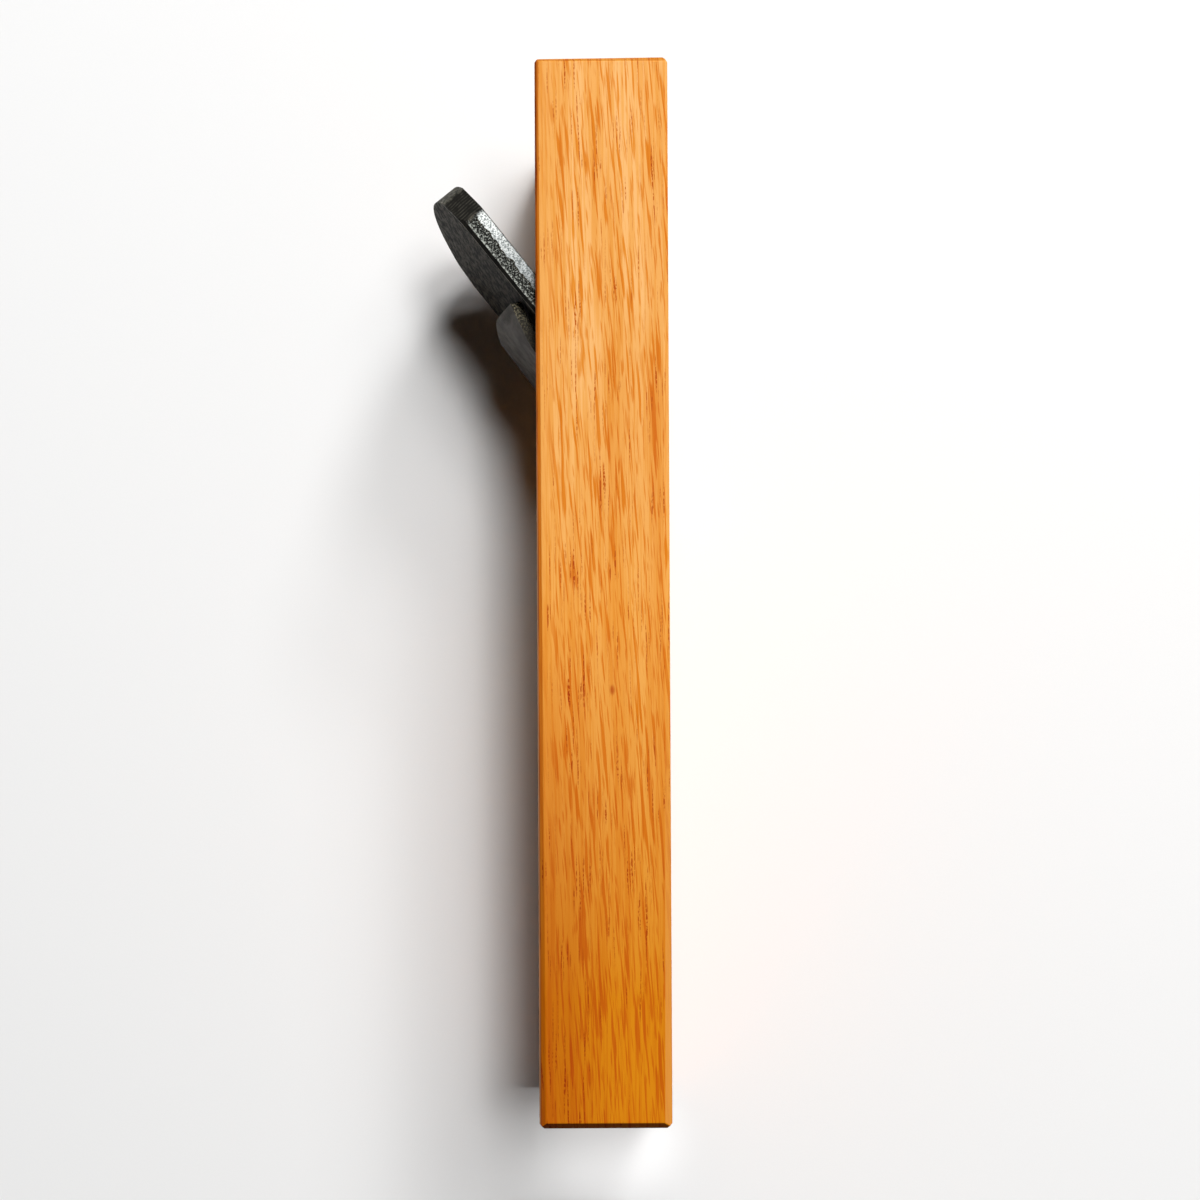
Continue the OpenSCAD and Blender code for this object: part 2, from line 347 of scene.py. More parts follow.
# Painted shade on the left chamfer, partly oil-darkened wood.
HEEL_EDGE_SHADE_TINT, TOE_EDGE_SHADE_TINT = (1.0, 0.62, 0.2, 1), (1.0, 0.9, 0.6, 1)
# Paler right chamfer: partly wear, partly painted highlight. Pale left rim: painted highlight.
WORN_AND_SHEEN_COLOUR, RIM_HIGHLIGHT_COLOUR = (0.68, 0.28, 0.05, 1), (0.50, 0.27, 0.14, 1)


def ring_share(tree, side, height):
    """Goes from 0 to 1 across each growth ring."""
    from_heart = together(tree, maths(tree, "SUBTRACT", side, HEART[0]),
                          maths(tree, "SUBTRACT", height, HEART[1]), 0.0)
    rings = maths(tree, "DIVIDE", length_of(tree, from_heart), RING_WIDTH)
    return maths(tree, "FRACT", rings)


def honey_to_orange(tree, along):
    ramp = tree.nodes.new("ShaderNodeValToRGB")
    share = maths(tree, "MULTIPLY_ADD", along, -1 / BODY_LENGTH)
    share.node.inputs[2].default_value = 0.5
    tree.links.new(share, ramp.inputs[0])
    stops = ramp.color_ramp.elements
    stops[0].color, stops[1].color = HONEY, ORANGE
    stops[0].position, stops[1].position = HONEY_END, ORANGE_START
    stops.new(AMBER_PLACE).color = AMBER
    return ramp.outputs[0]


print("oak rings", RING_WIDTH, "mm wide, rays", RAY_SIZE[1], "mm long")

# %% Oak
def oak():
    made, tree, shader = new_material("oiled_oak")
    mm = place_in_mm(tree)
    along = measure(tree, mm, (0, 1, 0))
    sway = times(tree, maths(tree, "SUBTRACT", cloud(tree, mm, (34, 120, 60), 1), 0.5), 3.6)
    side = maths(tree, "ADD", measure(tree, mm, (1, 0.01, 0)), sway)
    height = measure(tree, mm, (0, 0.012, 1))
    grain = together(tree, side, along, height)
    leaning = together(tree, maths(tree, "ADD", side, times(tree, along, RAY_LEAN)), along, height)

    facing = tree.nodes.new("ShaderNodeTexCoord").outputs["Normal"]
    sideways = measure(tree, facing, (1, 0, 0))
    upwards = maths(tree, "ABSOLUTE", measure(tree, facing, (0, 0, 1)))
    endways = maths(tree, "ABSOLUTE", measure(tree, facing, (0, 1, 0)))
    cheek = ease(tree, upwards, 0.2, 0.4)
    flat_cut = ease(tree, maths(tree, "ABSOLUTE", sideways), 0.8, 0.95)

    # Pale honey at the heel to orange at the toe: partly the oiled wood's tone, partly painted sheen
    # at the heel.
    colour = honey_to_orange(tree, along)
    broad = cloud(tree, grain, (6, 170, 9), 2)
    colour = blend(tree, ease(tree, broad, 0.4, 0.7), colour, FIBRE_TINT, "MULTIPLY")
    ring = ring_share(tree, side, height)
    late_wood = times(tree, ease(tree, ring, 0.45, 0.9), ease(tree, ring, 1.0, 0.93))
    colour = blend(tree, times(tree, late_wood, 0.6), colour, FIBRE_TINT, "MULTIPLY")
    fibres = cloud(tree, grain, FIBRE_SIZE, 2, 0.6)
    colour = blend(tree, ease(tree, fibres, 0.45, 0.6), colour, FIBRE_TINT, "MULTIPLY")

    clear_edge = ease(tree, measure(tree, mm, (1, 0, 0)), -BODY_HEIGHT / 2 + 2.5,
                      -BODY_HEIGHT / 2 + 6.0, 0.25, 1.0)
    rays = ease(tree, cloud(tree, leaning, RAY_SIZE, 1, 0.5), 0.55, 0.65)
    small_rays = ease(tree, cloud(tree, leaning, SMALL_RAY_SIZE, 1), 0.57, 0.68, 0, 0.8)
    rays = times(tree, maths(tree, "MAXIMUM", rays, small_rays), clear_edge,
                 ease(tree, flat_cut, 0, 1, 1.0, FLAT_RAY_SHARE))
    colour = blend(tree, rays, colour, RAY_TINT, "MULTIPLY")

    clumps = ease(tree, cloud(tree, grain, (4, 22, 4), 1), 0.44, 0.6, 0.15, 1.0)
    dashes = ease(tree, cloud(tree, grain, DASH_SIZE, 1), 0.42, 0.54, 0.25, 1.0)
    pores = times(tree, ease(tree, cloud(tree, grain, PORE_SIZE, 1), 0.61, 0.66), clumps, dashes)
    colour = blend(tree, pores, colour, PORE_TINT, "MULTIPLY")

    knot_place = tree.nodes.new("ShaderNodeVectorMath")
    knot_place.operation = "SUBTRACT"
    tree.links.new(mm, knot_place.inputs[0])
    knot_place.inputs[1].default_value = KNOT
    from_knot = length_of(tree, in_sizes(tree, knot_place.outputs[0], (0.7, 1.3, 1.0)))
    colour = blend(tree, ease(tree, from_knot, 1.5, 0.3, 0, 0.8), colour, PORE_TINT, "MULTIPLY")

    # Painted shade: the cheeks darken towards the toe and the left, where the light falls off; partly
    # darker wood.
    toe_side_shade = times(tree, ease(tree, along, 10, -140),
                     ease(tree, measure(tree, mm, (1, 0, 0)), 8, -18), cheek)
    colour = blend(tree, times(tree, toe_side_shade, 0.8), colour, TOE_SIDE_SHADE_TINT, "MULTIPLY")
    toewards = ease(tree, along, 20, -120)
    # Painted shade: the left chamfer faces away from the light and is darkened; partly oil-darkened
    # wood too.
    left_edge = times(tree, ease(tree, sideways, -0.4, -0.6), cheek)
    colour = blend(tree, left_edge, colour, blend(tree, toewards, HEEL_EDGE_SHADE_TINT, TOE_EDGE_SHADE_TINT),
                   "MULTIPLY")
    # A dark line along the outer left edge: partly dark oil, partly painted shade on the rounding
    # that faces away from the light.
    edge_blotches = ease(tree, cloud(tree, mm, (5, 22, 5), 2), 0.35, 0.6, 0.35, 1.0)
    edge_shade_and_oil = times(tree, left_edge, edge_blotches, ease(tree, measure(
        tree, mm, (1, 0, 0)), -BODY_HEIGHT / 2 + 0.75, -BODY_HEIGHT / 2 + 0.35))
    colour = blend(tree, edge_shade_and_oil, colour, EDGE_SHADE_AND_OIL_TINT, "MULTIPLY")
    # The right chamfer grows paler towards the toe: partly wear, partly a painted highlight on the
    # chamfer that faces the light.
    worn_and_lit_edge = times(tree, ease(tree, sideways, 0.4, 0.6), ease(tree, upwards, 0.4, 0.6),
                      toewards, 0.75)
    colour = blend(tree, worn_and_lit_edge, colour, WORN_AND_SHEEN_COLOUR)
    # Painted highlight: a pale line of light along the left rim near the toe.
    rim = times(tree, ease(tree, measure(tree, mm, (1, 0, 0)), -17.5, -17.8),
                ease(tree, along, 60, 10), ease(tree, upwards, 0.05, 0.3), 0.8)
    colour = blend(tree, rim, colour, RIM_HIGHLIGHT_COLOUR)
    # The ends are darker end grain; on the toe chamfer, which faces away from the light, the dark is
    # painted shade.
    on_end = ease(tree, endways, 0.85, 0.97)
    heel_tint = blend(tree, on_end, HEEL_CHAMFER_TINT, HEEL_END_TINT)
    toe_grain_and_shade = blend(tree, on_end, TOE_CHAMFER_SHADE, TOE_END_TINT)
    end_grain_and_shade = blend(tree, ease(tree, along, -90, -140), heel_tint, toe_grain_and_shade)
    colour = blend(tree, ease(tree, endways, 0.35, 0.68), colour, end_grain_and_shade, "MULTIPLY")
    put(tree, shader.inputs["Base Color"], colour)

    worn = cloud(tree, mm, (9, 30, 9), 3)
    put(tree, shader.inputs["Roughness"], ease(tree, worn, 0.3, 0.7, 0.44, 0.6))
    shader.inputs["Specular IOR Level"].default_value = 0.05
    surface = maths(tree, "SUBTRACT", times(tree, fibres, 0.5), times(tree, pores, 0.3))
    relief(tree, shader, surface, 0.05)
    return made


oiled_oak = oak()
print("oak ready:", oiled_oak.name)

# %% [markdown]
# ## The block
# The block's shape is already exact, but a maker planes its chamfers by hand. Its solid is copied,
# the triangles on each flat face are joined, and the corners of each cheek are shifted a little, so
# that the chamfers widen towards the toe. The heel end is a little out of square, as a hand saw
# leaves it. Then the outside edges and those round the throat are eased. The faces of the rounding
# are shaded smooth and the planed faces stay flat.

# %% Block
CHAMFER = 1.3
OUTSIDE_EASE = 0.18
THROAT_EASE = 0.25
HEEL_INSET, TOE_INSET = 0.25, 0.35
CHEEK_SHIFT = {(-1, 1): 0.3, (1, 1): 0.7, (-1, -1): -0.5, (1, -1): -0.8}
HEEL_SKEW = 0.42


def link_piece(mesh, name):
    piece = bpy.data.objects.new(name, mesh)
    bpy.context.scene.collection.objects.link(piece)
    return piece


def near_outside(point, reach=2.2):
    """True for a corner that lies within reach of two of the block's six faces."""
    x, y, z = (part / MM for part in point)
    gaps = (BODY_HEIGHT / 2 - abs(x), BODY_LENGTH / 2 - abs(y),
            BODY_WIDTH / 2 - abs(z - BODY_WIDTH / 2))
    return sum(gap < reach for gap in gaps) >= 2


def on_top_face(point):
    return point[0] / MM < -BODY_HEIGHT / 2 + 0.01


def hand_plane_chamfers(shape):
    """Shifts the four corners of each cheek's flat, by sides of x and y, and counts them."""
    moved = 0
    for vert in shape.verts:
        x, y, z = (part / MM for part in vert.co)
        on_cheek = min(z, BODY_WIDTH - z) < 0.01
        at_corner = (abs(abs(x) - BODY_HEIGHT / 2 + CHAMFER) < 0.01
                     and abs(abs(y) - BODY_LENGTH / 2 + CHAMFER) < 0.01)
        if on_cheek and at_corner:
            right, heel = (1 if x > 0 else -1), (1 if y > 0 else -1)
            vert.co.x += right * CHEEK_SHIFT[(right, heel)] * MM
            vert.co.y -= heel * (HEEL_INSET if heel > 0 else TOE_INSET) * MM
            moved += 1
        if BODY_LENGTH / 2 - y < 0.01:
            vert.co.y -= HEEL_SKEW * (0.5 - x / BODY_HEIGHT) * MM
    return moved


def eased_block():
    shape = bmesh.new()
    shape.from_mesh(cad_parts["body_block"].data)
    bmesh.ops.remove_doubles(shape, verts=shape.verts, dist=0.002 * MM)
    bmesh.ops.dissolve_limit(shape, angle_limit=math.radians(1.0), verts=shape.verts,
                             edges=shape.edges)
    print("cheek corners shifted:", hand_plane_chamfers(shape))
    for face in shape.faces:
        face.smooth = False
    for test, width in ((near_outside, OUTSIDE_EASE), (on_top_face, THROAT_EASE)):
        sharp = [edge for edge in shape.edges
                 if len(edge.link_faces) == 2 and edge.calc_face_angle() > math.radians(20)
                 and all(test(vert.co) for vert in edge.verts)
                 and edge.calc_length() > 0.9 * MM]
        made = bmesh.ops.bevel(shape, geom=sharp, offset=width * MM, offset_type="OFFSET",
                               segments=3, profile=0.5, affect="EDGES", clamp_overlap=True)
        for face in made["faces"]:
            face.smooth = True
        print("rounded", len(sharp), "edges of the block by", width, "mm")
    mesh = bpy.data.meshes.new("oak_block")
    shape.to_mesh(mesh)
    shape.free()
    mesh.materials.clear()
    mesh.materials.append(oiled_oak)
    return link_piece(mesh, "oak_block")


oak_block = eased_block()
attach(oak_block, "block")
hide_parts("body_block")
print("block faces:", len(oak_block.data.polygons))

# %% [markdown]
# ## Where the irons lie
# The irons lie on a bed that leans 38.5 degrees from the sole. Their points are worked out on the
# bed: x across the width, s up the bed from the sole, and t out from the bed. The front face of the
# thick iron has its own measure, u up from the cutting edge and f out from the face.

# %% Bed measures
BED_ANGLE = math.radians(38.5)
MOUTH_Y = BODY_LENGTH / 2 - 102.8
SOLE_X = BODY_HEIGHT / 2
BED_GAP = 0.1
IRON_WIDTH = 70.0
IRON_LENGTH = 105.5
IRON_THICKNESS = 6.2
IRON_WEDGE = 0.8
EDGE_T = BED_GAP + IRON_THICKNESS
EDGE_S = -EDGE_T / math.tan(BED_ANGLE) + 0.3
HEAD_S = EDGE_S + IRON_LENGTH
WEDGE_ANGLE = math.atan(IRON_WEDGE / IRON_LENGTH)
UP_BED = (-math.sin(BED_ANGLE), math.cos(BED_ANGLE), 0.0)
OFF_BED = (-math.cos(BED_ANGLE), -math.sin(BED_ANGLE), 0.0)
BED_FOOT = Vector((SOLE_X, MOUTH_Y, BODY_WIDTH / 2))


def bed_point(x, s, t):
    return BED_FOOT + s * Vector(UP_BED) + t * Vector(OFF_BED) + Vector((0, 0, x))


def face_point(x, u, f):
    return bed_point(x, EDGE_S + u * math.cos(WEDGE_ANGLE) - f * math.sin(WEDGE_ANGLE),
                     EDGE_T + u * math.sin(WEDGE_ANGLE) + f * math.cos(WEDGE_ANGLE))


def front_t(s):
    return EDGE_T + (s - EDGE_S) * math.tan(WEDGE_ANGLE)


def bed_measures(tree, mm):
    """Sockets for x, s and t in a material."""
    x = measure(tree, mm, (0, 0, 1), -BED_FOOT.z)
    s = measure(tree, mm, UP_BED, -BED_FOOT.dot(Vector(UP_BED)))
    t = measure(tree, mm, OFF_BED, -BED_FOOT.dot(Vector(OFF_BED)))
    return x, s, t


print("cutting edge at", [round(part, 1) for part in face_point(0, 0, 0)])

# %% [markdown]
# ## Building a forged plate
# Both irons are plates, so each is made as two grids of points, a front and a back, that are joined
# round the rim. Their sharp edges are then rounded. Hammered steel is never quite flat: a small
# Geometry Nodes tree moves each point along its normal by a smooth noise, with the depth and size
# of the hammer marks as its inputs.

# %% Plate helpers
def plate(front, back):
    """A closed mesh from two grids of points in mm."""
    shape = bmesh.new()
    tops = [[shape.verts.new(point * MM) for point in row] for row in front]
    unders = [[shape.verts.new(point * MM) for point in row] for row in back]
    rows, columns = len(tops), len(tops[0])
    for r in range(rows - 1):
        for c in range(columns - 1):
            shape.faces.new((tops[r][c], tops[r][c + 1], tops[r + 1][c + 1], tops[r + 1][c]))
            shape.faces.new((unders[r][c], unders[r + 1][c], unders[r + 1][c + 1],
                             unders[r][c + 1]))
    rim = ([(0, c) for c in range(columns)] + [(r, columns - 1) for r in range(1, rows)]
           + [(rows - 1, c) for c in range(columns - 2, -1, -1)]
           + [(r, 0) for r in range(rows - 2, 0, -1)])
    for (r, c), (next_r, next_c) in zip(rim, rim[1:] + rim[:1]):
        shape.faces.new((tops[r][c], unders[r][c], unders[next_r][next_c], tops[next_r][next_c]))
    return shape


def round_edges(shape, width, cutting_edge):
    """Rounds the plate's sharp edges, apart from those that the test keeps keen."""
    sharp = [edge for edge in shape.edges
             if edge.calc_face_angle(0) > math.radians(24)
             and not all(cutting_edge(vert.co) for vert in edge.verts)]
    bmesh.ops.bevel(shape, geom=sharp, offset=width * MM, offset_type="OFFSET", segments=3,
                    profile=0.5, affect="EDGES", clamp_overlap=False)
    bmesh.ops.recalc_face_normals(shape, faces=shape.faces)
    return len(sharp)


def hammer_tree():
    tree = bpy.data.node_groups.new("hammered_skin", "GeometryNodeTree")
    tree.interface.new_socket("Geometry", in_out="INPUT", socket_type="NodeSocketGeometry")
    for name, kind in (("Depth", "NodeSocketFloat"), ("Mark Size", "NodeSocketFloat"),
                       ("Seed", "NodeSocketFloat"), ("Material", "NodeSocketMaterial")):
        tree.interface.new_socket(name, in_out="INPUT", socket_type=kind)
    tree.interface.new_socket("Geometry", in_out="OUTPUT", socket_type="NodeSocketGeometry")
    inside = tree.nodes.new("NodeGroupInput")
    outside = tree.nodes.new("NodeGroupOutput")
    place = tree.nodes.new("GeometryNodeInputPosition")
    normal = tree.nodes.new("GeometryNodeInputNormal")
    counted = tree.nodes.new("ShaderNodeVectorMath")
    counted.operation = "DIVIDE"
    marks = tree.nodes.new("ShaderNodeTexNoise")
    marks.noise_dimensions = "4D"
    marks.inputs["Scale"].default_value = 1.0
    marks.inputs["Detail"].default_value = 2.0
    centred = maths(tree, "SUBTRACT", marks.outputs[0], 0.5)
    amount = maths(tree, "MULTIPLY", centred, inside.outputs["Depth"])
    push = tree.nodes.new("ShaderNodeVectorMath")
    push.operation = "SCALE"
    move = tree.nodes.new("GeometryNodeSetPosition")
    real = tree.nodes.new("GeometryNodeRealizeInstances")
    paint = tree.nodes.new("GeometryNodeSetMaterial")
    for source, target in (
            (place.outputs[0], counted.inputs[0]), (inside.outputs["Mark Size"], counted.inputs[1]),
            (counted.outputs[0], marks.inputs["Vector"]), (inside.outputs["Seed"], marks.inputs["W"]),
            (normal.outputs[0], push.inputs[0]), (amount, push.inputs["Scale"]),
            (inside.outputs["Geometry"], move.inputs["Geometry"]),
            (push.outputs[0], move.inputs["Offset"]), (move.outputs[0], real.inputs[0]),
            (real.outputs[0], paint.inputs["Geometry"]),
            (inside.outputs["Material"], paint.inputs["Material"]),
            (paint.outputs[0], outside.inputs[0])):
        tree.links.new(source, target)
    return tree


def hammered(shape, name, material, depth, size, seed):
    """The plate as a piece with hammer marks, as plain mesh."""
    mesh = bpy.data.meshes.new(name)
    shape.to_mesh(mesh)
    shape.free()
    piece = link_piece(mesh, name)
    skin = piece.modifiers.new("skin", "NODES")
    skin.node_group = HAMMER
    values = {"Depth": depth * MM, "Mark Size": size * MM, "Seed": seed, "Material": material}
    for item in HAMMER.interface.items_tree:
        if item.in_out == "INPUT" and item.name in values:
            skin[item.identifier] = values[item.name]
    bpy.context.view_layer.update()
    graph = bpy.context.evaluated_depsgraph_get()
    real = bpy.data.meshes.new_from_object(piece.evaluated_get(graph))
    piece.modifiers.clear()
    piece.data = real
    real.materials.clear()
    real.materials.append(material)
    real.polygons.foreach_set("use_smooth", [True] * len(real.polygons))
    real.set_sharp_from_angle(angle=math.radians(38))
    print(name, "has", len(real.polygons), "faces")
    return piece


HAMMER = hammer_tree()
print("hammer marks: inputs", [item.name for item in HAMMER.interface.items_tree])

# %% [markdown]
# ## Steel finishes of the iron
# The iron shows several finishes. Its front face and head are dark forge scale, and painted shade
# darkens the scale down the bed towards the block. Each side was ground on the bed side, which
# leaves a bright strip with a ragged border against a coarse, glittering strip; painted shade dims
# the bright strip towards the block. A dark band runs along the front edge, partly scale and partly
# painted shade on the chamfer. The hollow, the flat round it and the bevel are ground bright,
# because they are sharpened. Each finish is a mask over the same shader.

# %% Forged steel
HEAD_RADIUS = 62.0
CORNER_LENGTH = 8.5
CORNER_WIDTH = 5.0
HEAD_HALF = IRON_WIDTH / 2 - CORNER_WIDTH
HEAD_RISE = HEAD_RADIUS - math.sqrt(HEAD_RADIUS ** 2 - HEAD_HALF ** 2)
CORNER_S = HEAD_S - HEAD_RISE - CORNER_LENGTH
HOLLOW_HALF = 24.0
HOLLOW_FOOT = 2.5
HOLLOW_LENGTH = 58.0
HOLLOW_DEPTH = 0.6
BEVEL_SLOPE = math.tan(math.radians(28))
BRIGHT_STRIP = 2.9
SPECKLED_STRIP = 6.0
EDGE_BAND = 0.9
SCALE_DARK, SCALE_LIGHT, SCALE_SPECK = tone(20, 19, 18), tone(80, 76, 67), tone(108, 104, 93)
# Painted shade for the steel nearest the block.
DEEP_SHADE_TINT = (0.5, 0.46, 0.44, 1)
GROUND_DARK, GROUND_LIGHT = tone(170, 171, 170), tone(212, 213, 211)


def iron_skin(tree):
    """The places and noises that all the iron's finishes share."""
    mm = place_in_mm(tree)
    x, s, t = bed_measures(tree, mm)
    return {"mm": mm, "x": x, "s": s, "t": t, "wide": maths(tree, "ABSOLUTE", x),
            "fine": cloud(tree, mm, (0.45, 0.45, 0.45), 2, 0.7),
            "patchy": cloud(tree, mm, (1.5, 1.8, 4.0), 4, 0.68),
            "slow": cloud(tree, mm, (14, 14, 20), 2)}


def band(tree, value, start, end, soft):
    """1 between start and end, with soft borders."""
    return times(tree, ease(tree, value, start - soft, start + soft),
                 ease(tree, value, end + soft, end - soft))


print("bright strip", BRIGHT_STRIP, "mm wide")

# %% Scale and ground strips
def forge_scale_and_shade(tree, skin):
    dark = blend(tree, ease(tree, skin["patchy"], 0.4, 0.62), SCALE_DARK, SCALE_LIGHT)
    scale = blend(tree, ease(tree, skin["fine"], 0.58, 0.76, 0, 0.4), dark, SCALE_SPECK)
    # Painted shade: the scale darkens down the bed towards the block, where the block and the chip
    # breaker keep the light off.
    shade_near_block = ease(tree, skin["s"], HEAD_S - 8, HEAD_S - 50)
    return blend(tree, shade_near_block, scale, DEEP_SHADE_TINT, "MULTIPLY")


def side_strips(tree, skin, colour):
    """The ground strips on the sides: returns the colour and the masks of both strips."""
    side = times(tree, ease(tree, skin["wide"], IRON_WIDTH / 2 - 0.5, IRON_WIDTH / 2 - 0.22),
                 ease(tree, skin["s"], CORNER_S - 0.5, CORNER_S - 2.0))
    waves = maths(tree, "SUBTRACT", cloud(tree, skin["mm"], (2.8, 2.8, 2.8), 2), 0.5)
    ragged = maths(tree, "ADD", skin["t"], times(tree, waves, 3.2))
    bright = times(tree, side, ease(tree, ragged, BRIGHT_STRIP + 0.08, BRIGHT_STRIP - 0.08),
                   ease(tree, skin["t"], 0.15, 0.45))
    border = times(tree, side, band(tree, ragged, BRIGHT_STRIP + 0.12, BRIGHT_STRIP + 0.3, 0.08))
    speckled = times(tree, side, ease(tree, skin["t"], SPECKLED_STRIP, SPECKLED_STRIP - 0.25),
                     ease(tree, ragged, BRIGHT_STRIP, BRIGHT_STRIP + 0.2))
    glitter = ease(tree, cloud(tree, skin["mm"], (0.5, 0.5, 0.5), 2, 0.8), 0.5, 0.7)
    glitter = maths(tree, "MAXIMUM", glitter, times(tree, ease(
        tree, skin["t"], SPECKLED_STRIP - 0.9, SPECKLED_STRIP - 0.4), ease(
            tree, skin["fine"], 0.45, 0.6)))
    colour = blend(tree, speckled, colour, blend(tree, glitter, tone(24, 24, 22),
                                                 tone(182, 186, 178)))
    colour = blend(tree, times(tree, border, 0.9), colour, tone(46, 40, 30))
    # Painted shade: the bright strip dims from the head towards the block, which keeps part of the
    # light off.
    grey = ease(tree, skin["s"], CORNER_S, CORNER_S - 26)
    polish_and_shade = blend(tree, grey, tone(222, 225, 222), tone(158, 162, 162))
    pits = ease(tree, skin["fine"], 0.58, 0.40, 0, 0.85)
    colour = blend(tree, bright, colour, blend(tree, pits, polish_and_shade, tone(82, 88, 88)))
    return colour, bright, times(tree, speckled, glitter)


def head_and_corners(tree, skin, colour):
    """Worn head end, ruled corner cuts and the thin worn line along the front edge."""
    head = together(tree, skin["x"], maths(tree, "SUBTRACT", skin["s"], HEAD_S - HEAD_RADIUS), 0.0)
    reach = length_of(tree, head)
    head_end = times(tree, ease(tree, reach, HEAD_RADIUS - 0.6, HEAD_RADIUS - 0.15),
                     ease(tree, skin["s"], CORNER_S, CORNER_S + 3))
    rubbed = blend(tree, ease(tree, skin["patchy"], 0.34, 0.68), tone(40, 39, 34),
                   tone(94, 92, 83))
    colour = blend(tree, head_end, colour, rubbed)
    scale = 1 / math.hypot(CORNER_LENGTH, CORNER_WIDTH)
    beyond = maths(tree, "ADD", times(tree, maths(tree, "SUBTRACT", skin["wide"], IRON_WIDTH / 2),
                                      CORNER_LENGTH * scale),
                   times(tree, maths(tree, "SUBTRACT", skin["s"], CORNER_S), CORNER_WIDTH * scale))
    corner = times(tree, ease(tree, beyond, -0.45, -0.15),
                   ease(tree, skin["s"], CORNER_S - 1, CORNER_S), invert(tree, head_end))
    phase = maths(tree, "ADD", times(tree, skin["s"], 7.2), times(tree, skin["slow"], 22))
    line_strength = times(tree, ease(tree, maths(tree, "SINE", phase), -0.2, 1.0),
                          ease(tree, skin["patchy"], 0.38, 0.62, 0.1, 1.0))
    ruled = blend(tree, line_strength, tone(26, 25, 22), tone(58, 56, 50))
    colour = blend(tree, corner, colour, ruled)
    front_edge = maths(tree, "MAXIMUM", skin["wide"], maths(tree, "ADD", beyond, IRON_WIDTH / 2))
    in_front = ease(tree, maths(tree, "SUBTRACT", skin["t"], times(
        tree, skin["s"], math.tan(WEDGE_ANGLE))), EDGE_T - 0.6, EDGE_T - 0.3)
    line = times(tree, in_front, band(tree, front_edge, IRON_WIDTH / 2 - EDGE_BAND - 0.35,
                                      IRON_WIDTH / 2 - EDGE_BAND, 0.1))
    return blend(tree, times(tree, line, ease(tree, skin["patchy"], 0.3, 0.55, 0.35, 1)), colour,
                 tone(150, 144, 132)), head_end


def sharpened(tree, skin, colour):
    """The hollow with the flat round it, and the bevel: returns the colour and their mask."""
    u = maths(tree, "SUBTRACT", skin["s"], EDGE_S)
    in_front = ease(tree, maths(tree, "SUBTRACT", skin["t"], times(
        tree, u, math.tan(WEDGE_ANGLE))), EDGE_T - 1.6, EDGE_T - 1.1)
    up = maths(tree, "MAXIMUM", maths(
        tree, "SUBTRACT", u, HOLLOW_FOOT + HOLLOW_LENGTH - HOLLOW_HALF), 0.0)
    bowl = length_of(tree, together(tree, skin["x"], up, 0.0))
    ground = times(tree, in_front, ease(tree, bowl, HOLLOW_HALF + 4.2, HOLLOW_HALF + 3.4))
    brushed = cloud(tree, together(tree, skin["x"], skin["s"], skin["t"]), (0.25, 9, 0.25), 2)
    steel = blend(tree, ease(tree, brushed, 0.35, 0.65), GROUND_DARK, GROUND_LIGHT)
    colour = blend(tree, ground, colour, steel)
    bevel_t = maths(tree, "SUBTRACT", EDGE_T, times(tree, u, BEVEL_SLOPE))
    bevel = times(tree, ease(tree, maths(tree, "SUBTRACT", skin["t"], bevel_t), 0.35, 0.2),
                  ease(tree, bevel_t, BED_GAP - 0.1, BED_GAP + 0.1))
    hard_layer = blend(tree, ease(tree, u, 3.2, 3.0), tone(150, 152, 154), tone(206, 208, 208))
    return blend(tree, bevel, colour, hard_layer), maths(tree, "MAXIMUM", ground, bevel)


print("corner cut at", round(CORNER_S, 1), "mm up the bed")

# %% Forged steel
def forged_steel():
    made, tree, shader = new_material("forged_steel")
    skin = iron_skin(tree)
    colour, bright, sparks = side_strips(tree, skin, forge_scale_and_shade(tree, skin))
    # A dark band along the front edge of each side: partly forge scale, partly painted shade on the
    # chamfer.
    scale_and_shade_band = times(tree, ease(tree, skin["wide"], IRON_WIDTH / 2 - 1.15,
                                     IRON_WIDTH / 2 - 0.85),
                          ease(tree, skin["t"], SPECKLED_STRIP - 0.15, SPECKLED_STRIP + 0.1))
    colour = blend(tree, times(tree, scale_and_shade_band, 0.85), colour, tone(24, 23, 22))
    colour, head_end = head_and_corners(tree, skin, colour)
    colour, keen = sharpened(tree, skin, colour)
    put(tree, shader.inputs["Base Color"], colour)
    shiny = maths(tree, "MAXIMUM", keen, maths(tree, "MAXIMUM", times(tree, bright, 0.6),
                                               times(tree, sparks, 0.5)))
    put(tree, shader.inputs["Metallic"], maths(tree, "ADD", times(tree, shiny, 0.8), 0.04,
                                               clamp=True))
    put(tree, shader.inputs["Specular IOR Level"], maths(tree, "ADD", times(tree, shiny, 0.3),
                                                         0.07))
    rough = maths(tree, "SUBTRACT", ease(tree, skin["patchy"], 0.3, 0.7, 0.8, 0.64),
                  times(tree, shiny, 0.2))
    put(tree, shader.inputs["Roughness"], maths(tree, "SUBTRACT", rough, times(tree, keen, 0.22)))
    coarse = maths(tree, "ADD", times(tree, skin["fine"], 0.35), times(tree, skin["patchy"], 0.65))
    coarse = times(tree, coarse, invert(tree, times(tree, keen, 0.85)))
    relief(tree, shader, maths(tree, "ADD", coarse, times(tree, sparks, 0.3)), 0.12)
    return made


steel_of_iron = forged_steel()
print("steel of the iron:", steel_of_iron.name)

# %% [markdown]
# ## The iron
# Seen square to the bed, the iron has a narrow cutting end, slanted shoulders, straight sides, cut
# corners and an arched head. Columns of points keep their share of the width, and the upper rows
# follow the arch. The front has a shallow hollow, and the bevel takes the back away at the edge.

